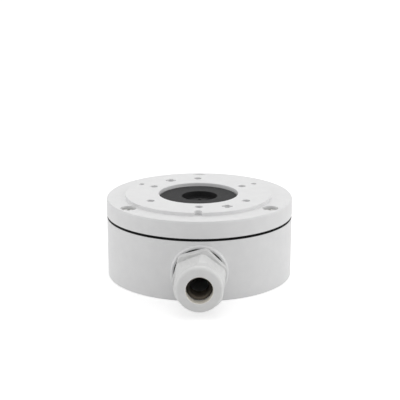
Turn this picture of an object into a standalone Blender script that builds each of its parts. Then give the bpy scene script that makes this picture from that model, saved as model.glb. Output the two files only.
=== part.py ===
"""Camera junction box: a round cast housing with a bolted cover and a side cable gland.

Metres, +Z up. The origin is the centre of the flat underside, and the gland
points towards -Y. Sizes are given in millimetres and turned into metres by MM.
"""

import bpy
import bmesh
from math import acos, atan2, cos, pi, radians, sin, sqrt, tan
from mathutils import Matrix, Vector

MM = 0.001

# Clearances
SEAT_GAP = 0.1 * MM          # between faces that are pressed together
FIT_GAP = 0.3 * MM           # around a piece that drops into its place
THREAD_GAP = 0.25 * MM       # radial, where the plain threads run
OVERRUN = 1.0 * MM           # how far a cutter reaches past the face it opens
BURY = 0.5 * MM              # how far a boss starts inside the wall that carries it

# Cover screws
SCREW_ANGLES = (90.0, 213.0, 327.0)
DRIVE_TURNS = (25.0, 0.0, 10.0)  # degrees, as the screws came to rest
SCREW_R = 1.9 * MM
SCREW_HEAD_R = 3.7 * MM
SCREW_HEAD_H = 2.4 * MM
SCREW_HEAD_SINK = 1.5 * MM   # head top below the rim face
SCREW_LENGTH = 18.0 * MM
SCREW_TIP = 0.8 * MM
DRIVE_SPAN = 4.8 * MM
DRIVE_W = 1.2 * MM
DRIVE_DEPTH = 1.5 * MM
SEAL_RING_T = 1.5 * MM
HOLE_GAP = 0.3 * MM          # radial, shank in the cover's hole
PILLAR_WALL = 3.0 * MM
BOSS_WALL = 1.4 * MM         # around the screw head's recess
TAP_SPARE = 2.0 * MM         # blind hole below the screw's tip
BOSS_SETBACK = 0.2 * MM      # pillars and bosses stop short of the rims that clamp the gasket

# Plan of the cover, from its opening outwards
CENTRE_R = 21.3 * MM
CENTRE_EDGE = 0.5 * MM
PLATE_W = 18.1 * MM          # raised plate, from the opening to its outer edge
RECESS_GAP = 0.6 * MM        # from the plate's edge to the screw recesses
RECESS_WALL = 1.6 * MM       # from the screw recesses to the cover's outer face
PLATE_X = -0.55 * MM         # the plate and its opening sit this far off the box's axis

# Cover
RIM_H = 9.5 * MM             # from the cover's lower edge to its rim face
RIM_EDGE = 1.2 * MM
PLATE_STEP = 1.6 * MM
PLATE_EDGE = 0.45 * MM
CEILING_T = 4.4 * MM         # plate face to the inside of the cover
LIP_W = 1.0 * MM
LIP_H = 2.4 * MM
LIP_STEP = 0.2 * MM          # from the lip to the inside of the cover's wall

# Ledge in the opening
LEDGE_DEPTH = 3.8 * MM       # plate face to the ledge that carries the grommet
LEDGE_W = 3.1 * MM
LEDGE_T = 2.0 * MM
COLLAR_WALL = 3.2 * MM

# Base
BASE_SETBACK = 0.3 * MM      # base radius below cover radius at the seam
BASE_DRAFT = 0.2 * MM        # the base narrows this much towards its foot
BASE_WALL = 3.0 * MM
FLOOR_T = 2.6 * MM
FOOT_EDGE = 0.4 * MM
SEAM_EDGE = 0.35 * MM

# Seam gasket
GASKET_T = 0.9 * MM
GASKET_W = 2.5 * MM
GASKET_SETBACK = 0.15 * MM   # gasket edge behind the base's face

# Cable grommet
GROMMET_SINK = 1.7 * MM      # flange face below the plate face
GROMMET_GAP = 0.8 * MM       # between the flange's rim and the opening
GROMMET_LIP_H = 0.55 * MM
GROMMET_LIP_W = 1.3 * MM
GROMMET_SNAP = 1.2 * MM      # how far the lower bead reaches under the ledge
GROMMET_BEAD_T = 1.6 * MM
CUP_R = 9.3 * MM
CUP_FLOOR_R = 5.6 * MM
CUP_DEPTH = 3.1 * MM
CUP_FLOOR_T = 1.2 * MM
PIERCE_R = 0.8 * MM

# Camera fixing holes in the plate, placed from its inner or outer edge
FIX_HOLE_R = 2.1 * MM
FIX_DEPTH = 5.6 * MM
FIX_BOSS_WALL = 1.6 * MM
FIX_BOSS_FLOOR = 1.4 * MM
REAR_OUT = 9.7 * MM
REAR_ANGLES = (90.6,)
FRONT_OUT = 8.5 * MM
FRONT_ANGLES = (212.5, 328.0)
NARROW_OUT = 6.5 * MM
NARROW_ANGLES = (30.6, 151.0, 270.6)
CROSS_OUT = 9.4 * MM
CROSS_ANGLES = (120.2, 299.4)
CROSS_SPAN = 5.6 * MM
CROSS_W = 2.2 * MM
CROSS_CORE_R = 1.9 * MM
SMALL_IN = 3.3 * MM
SMALL_ANGLES = (32.0, 149.6)
SMALL_HOLE_R = 1.5 * MM
NOTCH_W = 4.1 * MM
NOTCH_IN = 4.9 * MM
NOTCH_PAST_PLATE = 1.3 * MM
NOTCH_UNDER_RIM = 0.7 * MM

# Wall fixing holes in the floor
WALL_HOLE_R = 2.4 * MM
WALL_HOLE_INSET = 15.7 * MM  # from the inside of the base's wall
WALL_HOLE_COUNT = 4
WALL_PAD_R = 5.5 * MM
WALL_PAD_H = 1.4 * MM

# Cable gland, from its seal outwards
SEAL_BORE_R = 4.9 * MM
SEAL_WALL = 1.7 * MM
SEAL_EDGE = 0.5 * MM
SEAL_PROUD = 0.3 * MM        # seal in front of the claws
CAGE_WALL = 1.2 * MM
BARREL_WALL = 1.55 * MM      # from the insert's seat to the top of the thread
HEX_WALL = 2.65 * MM         # from the nut's thread to the flange's flats
LOCKNUT_WALL = 1.9 * MM
WASHER_PROUD = 0.65 * MM     # washer outside the flange's flats
BOSS_MARGIN = 1.8 * MM       # boss outside the washer
LOCKNUT_CLEAR = 0.8 * MM     # locknut above the base's floor
BOSS_FOOT = 0.2 * MM         # boss underside above the box's underside
BOSS_HEAD = 1.65 * MM        # boss top below the base's rim
BOSS_EDGE = 1.2 * MM
BOSS_STANDOFF = 0.8 * MM     # boss face in front of the base's wall
PAD_PROUD = 0.15 * MM        # inner pad inside the curved wall
HOLE_SLACK = 0.35 * MM       # radial, gland thread in the wall

# Cable gland, along its axis
WASHER_T = 1.0 * MM
FLANGE_T = 5.2 * MM
FLANGE_BEVEL = 0.7 * MM
FLANGE_FACE_SETBACK = 0.4 * MM   # flange's round front face inside its flats
FLANGE_TURN = 14.5           # degrees, a corner of the flange clockwise from upright
OUTER_THREAD_L = 10.4 * MM   # thread in front of the flange
INNER_THREAD_PROUD = 1.0 * MM    # thread behind the locknut
NECK_L = 1.0 * MM
NECK_DEPTH = 0.6 * MM
THREAD_CHAMFER = 0.6 * MM
LOCKNUT_T = 4.5 * MM
LOCKNUT_BEVEL = 0.6 * MM
LOCKNUT_TURN = 30.0          # degrees, a flat towards the base's floor
CAGE_SEAT_L = 4.2 * MM       # the part that sits inside the gland's mouth
CAGE_COLLAR_PROUD = 0.7 * MM     # collar outside the seat
CAGE_COLLAR_L = 1.4 * MM
CLAW_L = 2.9 * MM
CLAW_TIP_T = 0.5 * MM
CLAW_COUNT = 8
CLAW_SLIT = 0.8 * MM

# Dome nut, turned back by a few threads, as a gland without a cable stands
NUT_GAP = 4.2 * MM           # flange to the nut's back face
NUT_TURN = 8.0               # degrees, a corner of the nut clockwise from upright
NUT_SETBACK = 0.15 * MM      # nut's flats inside the flange's flats
NUT_DRAFT = 0.35 * MM        # the flats lean in this much towards the dome
NUT_CORNER_TRIM = 0.65 * MM  # turned off the hexagon's corners
NUT_CORNER_LEAN = 0.8 * MM   # corners lean in this much towards the dome
NUT_DOME_SETBACK = 0.45 * MM # dome inside the flats at the back
NUT_DOME_L = 4.4 * MM
NUT_SHOULDER_L = 2.0 * MM    # cone from the corners down to the dome
NUT_FRONT_EDGE = 3.0 * MM
NUT_BACK_BEVEL = 0.5 * MM
NUT_MOUTH_EDGE = 0.5 * MM
NUT_MOUTH_L = 4.6 * MM
NUT_CONE_BACK = 0.2 * MM     # nut's cone starts in front of the insert's collar
NUT_CONE_FRONT = 0.6 * MM    # nut's cone reaches past the claws

# Facets around a full turn
BIG_STEPS = 60
GLAND_STEPS = 36
SCREW_STEPS = 20
HOLE_STEPS = 16
RING_STEPS = 8
CORNER_STEPS = 2

# Radii that follow from the sizes above
PLATE_R = CENTRE_R + PLATE_W
RECESS_R = SCREW_HEAD_R + FIT_GAP + SEAT_GAP * 2
SCREW_CIRCLE_R = PLATE_R + RECESS_GAP + RECESS_R
COVER_R = SCREW_CIRCLE_R + RECESS_R + RECESS_WALL
BASE_R = COVER_R - BASE_SETBACK
FOOT_R = BASE_R - BASE_DRAFT
BASE_IN_R = BASE_R - BASE_WALL
LIP_R = BASE_IN_R - FIT_GAP
COVER_IN_R = LIP_R - LIP_W - LIP_STEP
LEDGE_R = CENTRE_R - LEDGE_W
WALL_HOLE_CIRCLE_R = BASE_IN_R - WALL_HOLE_INSET
SEAL_R = SEAL_BORE_R + SEAL_WALL
CAGE_BORE_R = SEAL_R + SEAT_GAP * 2
SEAT_R = CAGE_BORE_R + CAGE_WALL
SEAT_BORE_R = SEAT_R + FIT_GAP
THREAD_R = SEAT_BORE_R + BARREL_WALL
NUT_BORE_R = THREAD_R + THREAD_GAP
FLANGE_FLAT_R = NUT_BORE_R + HEX_WALL
LOCKNUT_FLAT_R = NUT_BORE_R + LOCKNUT_WALL
WASHER_R = FLANGE_FLAT_R + WASHER_PROUD
BOSS_R = max(WASHER_R + BOSS_MARGIN, LOCKNUT_FLAT_R + LOCKNUT_CLEAR + FLOOR_T - BOSS_FOOT)
NUT_FLAT_R = FLANGE_FLAT_R - NUT_SETBACK
NUT_DOME_R = NUT_FLAT_R - NUT_DOME_SETBACK
NUT_CORNER_R = NUT_FLAT_R / cos(pi / 6) - NUT_CORNER_TRIM

# Heights that follow
GLAND_Z = BOSS_R + BOSS_FOOT
BASE_H = GLAND_Z + BOSS_R + BOSS_HEAD
GASKET_Z = BASE_H + SEAT_GAP
COVER_Z = GASKET_Z + GASKET_T + SEAT_GAP
RIM_Z = COVER_Z + RIM_H
PLATE_Z = RIM_Z + PLATE_STEP
CEILING_Z = PLATE_Z - CEILING_T
LEDGE_Z = PLATE_Z - LEDGE_DEPTH
HEAD_Z = RIM_Z - SCREW_HEAD_SINK
HEAD_FOOT_Z = HEAD_Z - SCREW_HEAD_H
RECESS_Z = HEAD_FOOT_Z - SEAT_GAP * 2 - SEAL_RING_T
SCREW_END_Z = HEAD_FOOT_Z - SCREW_LENGTH

# Places along the gland's axis, measured outwards from the face of its boss
BOSS_FACE_Y = -(BASE_R + BOSS_STANDOFF)
BOSS_T = -BOSS_FACE_Y - sqrt(BASE_IN_R ** 2 - BOSS_R ** 2) + PAD_PROUD
WASHER_S = SEAT_GAP
FLANGE_S = WASHER_S + WASHER_T + SEAT_GAP
THREAD_S = FLANGE_S + FLANGE_T
GLAND_END_S = THREAD_S + OUTER_THREAD_L
LOCKNUT_S = -BOSS_T - SEAT_GAP - LOCKNUT_T
INNER_END_S = LOCKNUT_S - INNER_THREAD_PROUD
SEAT_S = GLAND_END_S - CAGE_SEAT_L
COLLAR_S = GLAND_END_S + FIT_GAP
CLAW_S = COLLAR_S + CAGE_COLLAR_L
CLAW_TIP_S = CLAW_S + CLAW_L
NUT_S = THREAD_S + NUT_GAP
NUT_CONE_S = CLAW_S + NUT_CONE_BACK
NUT_MOUTH_S = CLAW_TIP_S + NUT_CONE_BACK + NUT_CONE_FRONT
NUT_FRONT_S = NUT_MOUTH_S + NUT_MOUTH_L
NUT_DOME_S = NUT_FRONT_S - NUT_DOME_L


# Scene, collections and materials

def clear_scene():
    for obj in list(bpy.data.objects):
        bpy.data.objects.remove(obj, do_unlink=True)


def make_collection(name):
    collection = bpy.data.collections.new(name)
    bpy.context.scene.collection.children.link(collection)
    return collection


def make_material(name, color, roughness, metallic=0.0):
    material = bpy.data.materials.new(name)
    material.use_nodes = True
    shader = material.node_tree.nodes["Principled BSDF"]
    shader.inputs["Base Color"].default_value = (*color, 1.0)
    shader.inputs["Roughness"].default_value = roughness
    shader.inputs["Metallic"].default_value = metallic
    return material


clear_scene()
PARTS = make_collection("camera_junction_box")
CUTTERS = make_collection("cutters")

WHITE_COAT = {"color": (0.80, 0.80, 0.79), "roughness": 0.45}
BLACK_RUBBER = {"color": (0.02, 0.02, 0.02), "roughness": 0.7}
WHITE_NYLON = {"color": (0.76, 0.76, 0.74), "roughness": 0.38}
STEEL = {"color": (0.62, 0.62, 0.60), "roughness": 0.32, "metallic": 1.0}


# Profiles

def rounded(points):
    """Turn (r, z) and (r, z, fillet) corners into a chain of points with arcs."""
    chain = []
    count = len(points)
    for i, point in enumerate(points):
        here = Vector(point[:2])
        if len(point) < 3:
            chain.append(here)
            continue
        fillet = point[2]
        before = (Vector(points[i - 1][:2]) - here).normalized()
        after = (Vector(points[(i + 1) % count][:2]) - here).normalized()
        half = acos(max(-1.0, min(1.0, before.dot(after)))) / 2
        bisector = (before + after).normalized()
        centre = here + bisector * (fillet / sin(half))
        start = here + before * (fillet / tan(half)) - centre
        end = here + after * (fillet / tan(half)) - centre
        turn = atan2(start.x * end.y - start.y * end.x, start.dot(end))
        for step in range(CORNER_STEPS + 1):
            angle = turn * step / CORNER_STEPS
            chain.append(centre + Matrix.Rotation(angle, 2) @ start)
    return chain


# Solids

def add_object(name, mesh, collection, location=(0, 0, 0), parent=None):
    obj = bpy.data.objects.new(name, mesh)
    collection.objects.link(obj)
    obj.location = location
    obj.parent = parent
    if collection is CUTTERS:
        obj.hide_render = True
        obj.display_type = "WIRE"
    return obj


def lathe(name, points, collection=CUTTERS, steps=BIG_STEPS, ring=True, location=(0, 0, 0), parent=None):
    """Turn a profile about Z; a ring's profile is a closed loop clear of the axis."""
    chain = rounded(points)
    edges = [(i, i + 1) for i in range(len(chain) - 1)]
    if ring:
        edges.append((len(chain) - 1, 0))
    mesh = bpy.data.meshes.new(name)
    mesh.from_pydata([(p.x, 0.0, p.y) for p in chain], edges, [])
    obj = add_object(name, mesh, collection, location, parent)
    screw = obj.modifiers.new("turn", "SCREW")
    screw.axis = "Z"
    screw.angle = 2 * pi
    screw.steps = steps
    screw.render_steps = steps
    screw.use_merge_vertices = True
    screw.merge_threshold = 0.01 * MM
    screw.use_normal_calculate = False
    return obj


def rod(name, radius, low, high, x=0.0, y=0.0, top_radius=None, steps=HOLE_STEPS, parent=None, turn=0.0):
    """A cylinder or cone along Z from low to high."""
    shape = bmesh.new()
    bmesh.ops.create_cone(
        shape, cap_ends=True, segments=steps, radius1=radius,
        radius2=radius if top_radius is None else top_radius, depth=high - low,
        matrix=Matrix.Translation((x, y, (low + high) / 2)) @ Matrix.Rotation(turn, 4, "Z"))
    mesh = bpy.data.meshes.new(name)
    shape.to_mesh(mesh)
    shape.free()
    return add_object(name, mesh, CUTTERS, parent=parent)


def block(name, size, centre, turn=0.0, parent=None):
    """A box of the given size, turned about Z."""
    shape = bmesh.new()
    bmesh.ops.create_cube(
        shape, size=1.0,
        matrix=Matrix.Translation(centre) @ Matrix.Rotation(turn, 4, "Z") @ Matrix.Diagonal((*size, 1.0)))
    mesh = bpy.data.meshes.new(name)
    shape.to_mesh(mesh)
    shape.free()
    return add_object(name, mesh, CUTTERS, parent=parent)


def slot(name, x, width, start, end, low, high):
    """A round-ended slot that runs outwards along -Y from start to end."""
    radius = width / 2 / cos(pi / HOLE_STEPS)
    inner_y = -(start + width / 2)
    place = Matrix.Translation((x, inner_y, (low + high) / 2))
    shape = bmesh.new()
    bmesh.ops.create_cone(
        shape, cap_ends=True, segments=HOLE_STEPS, radius1=radius, radius2=radius, depth=high - low,
        matrix=place @ Matrix.Rotation(pi / HOLE_STEPS, 4, "Z"))
    for vert in shape.verts:
        if vert.co.y < inner_y:
            vert.co.y -= end - start - width
    mesh = bpy.data.meshes.new(name)
    shape.to_mesh(mesh)
    shape.free()
    return add_object(name, mesh, CUTTERS)


def combine(obj, other, operation):
    boolean = obj.modifiers.new(operation.lower() + "_" + other.name, "BOOLEAN")
    boolean.operation = operation
    boolean.solver = "EXACT"
    boolean.object = other


def cut(obj, *cutters):
    for cutter in cutters:
        combine(obj, cutter, "DIFFERENCE")


def join(obj, *solids):
    for solid in solids:
        combine(obj, solid, "UNION")


def polar(radius, degrees):
    return radius * cos(radians(degrees)), radius * sin(radians(degrees))


def finish(obj, look, sharp=30.0):
    """Give the evaluated shape its material and smooth shading."""
    bpy.context.view_layer.update()
    evaluated = obj.evaluated_get(bpy.context.evaluated_depsgraph_get())
    mesh = bpy.data.meshes.new_from_object(evaluated)
    obj.modifiers.clear()
    obj.data = mesh
    mesh.name = obj.name
    mesh.materials.clear()
    mesh.materials.append(make_material(obj.name, **look))
    mesh.shade_smooth()
    mesh.set_sharp_from_angle(angle=radians(sharp))


# Base: a drafted cup with screw pillars, wall fixing pads and the gland's boss

def build_base():
    base = lathe("base", [
        (0.0, FLOOR_T), (BASE_IN_R, FLOOR_T), (BASE_IN_R, BASE_H), (BASE_R, BASE_H, SEAM_EDGE),
        (FOOT_R, 0.0, FOOT_EDGE), (0.0, 0.0)], PARTS, ring=False)
    pillar_r = SCREW_R + PILLAR_WALL
    for i, angle in enumerate(SCREW_ANGLES, 1):
        x, y = polar(SCREW_CIRCLE_R, angle)
        join(base, rod(f"pillar_{i}", pillar_r, FLOOR_T - BURY, BASE_H - BOSS_SETBACK, x, y,
                       steps=SCREW_STEPS))
    for i in range(WALL_HOLE_COUNT):
        x, y = polar(WALL_HOLE_CIRCLE_R, 360.0 / WALL_HOLE_COUNT * (i + 0.5))
        join(base, rod(f"wall_pad_{i + 1}", WALL_PAD_R + WALL_PAD_H / 2, FLOOR_T - BURY,
                       FLOOR_T + WALL_PAD_H, x, y, top_radius=WALL_PAD_R))
    join(base, lathe("gland_boss", [
        (0.0, 0.0), (BOSS_R, 0.0, BOSS_EDGE), (BOSS_R, -BOSS_T), (0.0, -BOSS_T)],
        steps=GLAND_STEPS, ring=False, parent=GLAND_AXIS))
    for i, angle in enumerate(SCREW_ANGLES, 1):
        x, y = polar(SCREW_CIRCLE_R, angle)
        cut(base, rod(f"tapped_hole_{i}", SCREW_R + THREAD_GAP, SCREW_END_Z - TAP_SPARE,
                      BASE_H + OVERRUN, x, y))
    for i in range(WALL_HOLE_COUNT):
        x, y = polar(WALL_HOLE_CIRCLE_R, 360.0 / WALL_HOLE_COUNT * (i + 0.5))
        cut(base, rod(f"wall_hole_{i + 1}", WALL_HOLE_R, -OVERRUN, FLOOR_T + WALL_PAD_H + OVERRUN, x, y))
    cut(base, rod("gland_hole", THREAD_R + HOLE_SLACK, -BOSS_T - OVERRUN, OVERRUN,
                  steps=GLAND_STEPS, parent=GLAND_AXIS))
    finish(base, WHITE_COAT)


# Gasket: a flat ring between the two rims

def build_gasket():
    outer = BASE_R - GASKET_SETBACK
    gasket = lathe("gasket", [
        (outer - GASKET_W, GASKET_Z + GASKET_T), (outer, GASKET_Z + GASKET_T),
        (outer, GASKET_Z), (outer - GASKET_W, GASKET_Z)], PARTS)
    finish(gasket, BLACK_RUBBER)


# Cover: a shell, the raised plate with its centre collar, bosses and holes

def fixing_holes():
    """Name, radius of the hole, and place of every blind fixing hole in the plate."""
    patterns = (
        ("rear", FIX_HOLE_R, CENTRE_R + REAR_OUT, REAR_ANGLES),
        ("front", FIX_HOLE_R, CENTRE_R + FRONT_OUT, FRONT_ANGLES),
        ("narrow", FIX_HOLE_R, CENTRE_R + NARROW_OUT, NARROW_ANGLES),
        ("cross", CROSS_CORE_R, CENTRE_R + CROSS_OUT, CROSS_ANGLES),
        ("small", SMALL_HOLE_R, PLATE_R - SMALL_IN, SMALL_ANGLES))
    for name, hole_r, circle_r, angles in patterns:
        for i, angle in enumerate(angles, 1):
            x, y = polar(circle_r, angle)
            yield f"{name}_{i}", hole_r, (PLATE_X + x, y)


def build_cover():
    collar_r = CENTRE_R + COLLAR_WALL
    shell_r = (CENTRE_R + collar_r) / 2
    cover = lathe("cover", [
        (shell_r, RIM_Z), (COVER_R, RIM_Z, RIM_EDGE), (COVER_R, COVER_Z, SEAM_EDGE),
        (COVER_IN_R, COVER_Z), (COVER_IN_R, CEILING_Z), (shell_r, CEILING_Z)], PARTS)
    join(cover, lathe("plate", [
        (CENTRE_R, PLATE_Z, CENTRE_EDGE), (PLATE_R, PLATE_Z, PLATE_EDGE), (PLATE_R, RIM_Z - BURY),
        (collar_r, RIM_Z - BURY), (collar_r, LEDGE_Z - LEDGE_T), (LEDGE_R, LEDGE_Z - LEDGE_T),
        (LEDGE_R, LEDGE_Z), (CENTRE_R, LEDGE_Z)], location=(PLATE_X, 0.0, 0.0)))

    # The lip drops inside the base's wall and steps aside for the pillars
    lip = lathe("lip", [
        (LIP_R - LIP_W, COVER_Z + BURY), (LIP_R, COVER_Z + BURY), (LIP_R, COVER_Z - LIP_H),
        (LIP_R - LIP_W, COVER_Z - LIP_H)])
    pillar_way_r = SCREW_R + PILLAR_WALL + FIT_GAP
    for i, angle in enumerate(SCREW_ANGLES, 1):
        x, y = polar(SCREW_CIRCLE_R, angle)
        cut(lip, rod(f"pillar_way_{i}", pillar_way_r, COVER_Z - LIP_H - OVERRUN, COVER_Z + OVERRUN, x, y))
    join(cover, lip)

    for i, angle in enumerate(SCREW_ANGLES, 1):
        x, y = polar(SCREW_CIRCLE_R, angle)
        join(cover, rod(f"screw_boss_{i}", RECESS_R + BOSS_WALL, COVER_Z + BOSS_SETBACK,
                        CEILING_Z + BURY, x, y, steps=SCREW_STEPS))
    for name, hole_r, (x, y) in fixing_holes():
        boss_z = PLATE_Z - FIX_DEPTH - FIX_BOSS_FLOOR
        join(cover, rod("fix_boss_" + name, hole_r + FIX_BOSS_WALL, boss_z, CEILING_Z + BURY, x, y))

    for i, angle in enumerate(SCREW_ANGLES, 1):
        x, y = polar(SCREW_CIRCLE_R, angle)
        cut(cover, rod(f"screw_recess_{i}", RECESS_R, RECESS_Z, RIM_Z + OVERRUN, x, y,
                       steps=GLAND_STEPS))
        cut(cover, rod(f"screw_hole_{i}", SCREW_R + HOLE_GAP, COVER_Z - OVERRUN, RECESS_Z + OVERRUN, x, y))
    for name, hole_r, (x, y) in fixing_holes():
        cut(cover, rod("fix_hole_" + name, hole_r, PLATE_Z - FIX_DEPTH, PLATE_Z + OVERRUN, x, y))
    cross_depth = FIX_DEPTH / 2
    for i, angle in enumerate(CROSS_ANGLES, 1):
        x, y = polar(CENTRE_R + CROSS_OUT, angle)
        centre = (PLATE_X + x, y, PLATE_Z - cross_depth / 2 + OVERRUN / 2)
        for arm in range(2):
            size = (CROSS_SPAN, CROSS_W, cross_depth + OVERRUN)
            cut(cover, block(f"cross_{i}_arm_{arm + 1}", size, centre, turn=arm * pi / 2))
    cut(cover, slot("notch", PLATE_X, NOTCH_W, PLATE_R - NOTCH_IN, PLATE_R + NOTCH_PAST_PLATE,
                    RIM_Z - NOTCH_UNDER_RIM, PLATE_Z + OVERRUN))
    finish(cover, WHITE_COAT)


# Grommet: a rubber bung that grips the ledge, with a cup that the cable pierces

def build_grommet():
    face_z = PLATE_Z - GROMMET_SINK
    lip_z = face_z + GROMMET_LIP_H
    flange_r = CENTRE_R - GROMMET_GAP
    neck_r = LEDGE_R - FIT_GAP
    bead_r = LEDGE_R + GROMMET_SNAP
    bead_z = LEDGE_Z - LEDGE_T - SEAT_GAP
    floor_z = lip_z - CUP_DEPTH
    foot_z = bead_z - GROMMET_BEAD_T
    under_r = neck_r - (bead_r - neck_r)
    grommet = lathe("cable_grommet", [
        (CUP_R, lip_z, GROMMET_LIP_H / 2), (CUP_R + GROMMET_LIP_W, lip_z, GROMMET_LIP_H / 2),
        (CUP_R + GROMMET_LIP_W + GROMMET_LIP_H, face_z), (flange_r, face_z, SEAL_EDGE),
        (flange_r, LEDGE_Z + SEAT_GAP), (neck_r, LEDGE_Z + SEAT_GAP), (neck_r, bead_z),
        (bead_r, bead_z), (bead_r, bead_z - GROMMET_BEAD_T / 2), (neck_r, foot_z), (under_r, foot_z),
        (under_r, floor_z - CUP_FLOOR_T), (PIERCE_R, floor_z - CUP_FLOOR_T), (PIERCE_R, floor_z),
        (CUP_FLOOR_R, floor_z)], PARTS, steps=GLAND_STEPS, location=(PLATE_X, 0.0, 0.0))
    finish(grommet, BLACK_RUBBER)


# Cover screws, each with its sealing ring under the head

def build_screws():
    for i, angle in enumerate(SCREW_ANGLES, 1):
        x, y = polar(SCREW_CIRCLE_R, angle)
        screw = lathe(f"cover_screw_{i}", [
            (0.0, HEAD_Z), (SCREW_HEAD_R, HEAD_Z, SCREW_HEAD_H / 4), (SCREW_HEAD_R, HEAD_FOOT_Z),
            (SCREW_R, HEAD_FOOT_Z), (SCREW_R, SCREW_END_Z + SCREW_TIP),
            (SCREW_R - SCREW_TIP, SCREW_END_Z), (0.0, SCREW_END_Z)],
            PARTS, steps=SCREW_STEPS, ring=False, location=(x, y, 0.0))
        centre = (x, y, HEAD_Z - DRIVE_DEPTH / 2 + OVERRUN / 2)
        for arm in range(2):
            size = (DRIVE_SPAN, DRIVE_W, DRIVE_DEPTH + OVERRUN)
            turn = radians(DRIVE_TURNS[i - 1]) + arm * pi / 2
            cut(screw, block(f"drive_{i}_arm_{arm + 1}", size, centre, turn=turn))
        finish(screw, STEEL)

        section_r = SEAL_RING_T / 2
        bpy.ops.mesh.primitive_torus_add(
            major_radius=SCREW_R + SEAT_GAP + section_r, minor_radius=section_r,
            major_segments=HOLE_STEPS, minor_segments=RING_STEPS,
            location=(x, y, RECESS_Z + SEAT_GAP + section_r))
        ring = bpy.context.active_object
        for collection in list(ring.users_collection):
            collection.objects.unlink(ring)
        PARTS.objects.link(ring)
        ring.name = f"screw_seal_ring_{i}"
        finish(ring, BLACK_RUBBER)


# Cable gland

def hexagon(name, flat_r, low, high, turn, high_flat_r=None):
    """A hexagonal prism about the gland's axis, or a tapered one, used to trim turned pieces."""
    to_corner = 1 / cos(pi / 6)
    top = None if high_flat_r is None else high_flat_r * to_corner
    return rod(name, flat_r * to_corner, low, high, top_radius=top, steps=6, parent=GLAND_AXIS,
               turn=-radians(turn))


def build_gland_washer():
    washer = lathe("gland_washer", [
        (NUT_BORE_R, WASHER_S + WASHER_T), (WASHER_R, WASHER_S + WASHER_T),
        (WASHER_R, WASHER_S), (NUT_BORE_R, WASHER_S)],
        PARTS, steps=GLAND_STEPS, parent=GLAND_AXIS)
    finish(washer, BLACK_RUBBER)


def build_gland_body():
    corner_r = FLANGE_FLAT_R / cos(pi / 6)
    body = lathe("gland_body", [
        (SEAT_BORE_R, GLAND_END_S), (THREAD_R - THREAD_CHAMFER, GLAND_END_S),
        (THREAD_R, GLAND_END_S - THREAD_CHAMFER), (THREAD_R, THREAD_S + NECK_L),
        (THREAD_R - NECK_DEPTH, THREAD_S + NECK_L), (THREAD_R - NECK_DEPTH, THREAD_S),
        (FLANGE_FLAT_R - FLANGE_FACE_SETBACK, THREAD_S), (corner_r, THREAD_S - FLANGE_BEVEL),
        (corner_r, FLANGE_S), (THREAD_R, FLANGE_S), (THREAD_R, INNER_END_S + THREAD_CHAMFER),
        (THREAD_R - THREAD_CHAMFER, INNER_END_S), (SEAL_R, INNER_END_S),
        (SEAL_R, SEAT_S), (SEAT_BORE_R, SEAT_S)],
        PARTS, steps=GLAND_STEPS, parent=GLAND_AXIS)
    trim = hexagon("body_hexagon", FLANGE_FLAT_R, INNER_END_S - OVERRUN, GLAND_END_S + OVERRUN, FLANGE_TURN)
    combine(body, trim, "INTERSECT")
    finish(body, WHITE_NYLON)


def build_gland_locknut():
    corner_r = LOCKNUT_FLAT_R / cos(pi / 6)
    front = LOCKNUT_S + LOCKNUT_T
    locknut = lathe("gland_locknut", [
        (NUT_BORE_R, front), (corner_r, front), (corner_r, LOCKNUT_S + LOCKNUT_BEVEL),
        (LOCKNUT_FLAT_R, LOCKNUT_S), (NUT_BORE_R, LOCKNUT_S)],
        PARTS, steps=GLAND_STEPS, parent=GLAND_AXIS)
    trim = hexagon("locknut_hexagon", LOCKNUT_FLAT_R, LOCKNUT_S - OVERRUN, front + OVERRUN, LOCKNUT_TURN)
    combine(locknut, trim, "INTERSECT")
    finish(locknut, WHITE_NYLON)


def build_gland_cage():
    collar_r = SEAT_R + CAGE_COLLAR_PROUD + FIT_GAP
    foot_s = SEAT_S + FIT_GAP
    cage = lathe("gland_cage", [
        (CAGE_BORE_R, CLAW_TIP_S), (CAGE_BORE_R + CLAW_TIP_T, CLAW_TIP_S), (collar_r, CLAW_S),
        (collar_r, COLLAR_S), (SEAT_R, COLLAR_S), (SEAT_R, foot_s), (CAGE_BORE_R, foot_s)],
        PARTS, steps=GLAND_STEPS, parent=GLAND_AXIS)
    slit_length = collar_r - CAGE_BORE_R + OVERRUN * 2
    slit_s = COLLAR_S + CAGE_COLLAR_L / 2
    for i in range(CLAW_COUNT):
        turn = 2 * pi * (i + 0.5) / CLAW_COUNT
        centre_r = (collar_r + CAGE_BORE_R) / 2
        centre = (centre_r * cos(turn), centre_r * sin(turn), (slit_s + CLAW_TIP_S + OVERRUN) / 2)
        size = (slit_length, CLAW_SLIT, CLAW_TIP_S + OVERRUN - slit_s)
        cut(cage, block(f"claw_slit_{i + 1}", size, centre, turn=turn, parent=GLAND_AXIS))
    finish(cage, WHITE_NYLON)


def build_gland_seal():
    back = SEAT_S + FIT_GAP
    front = CLAW_TIP_S + SEAL_PROUD
    seal = lathe("gland_seal", [
        (SEAL_BORE_R, front, SEAL_EDGE), (SEAL_R, front, SEAL_EDGE), (SEAL_R, back), (SEAL_BORE_R, back)],
        PARTS, steps=GLAND_STEPS, parent=GLAND_AXIS)
    finish(seal, BLACK_RUBBER)


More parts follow.
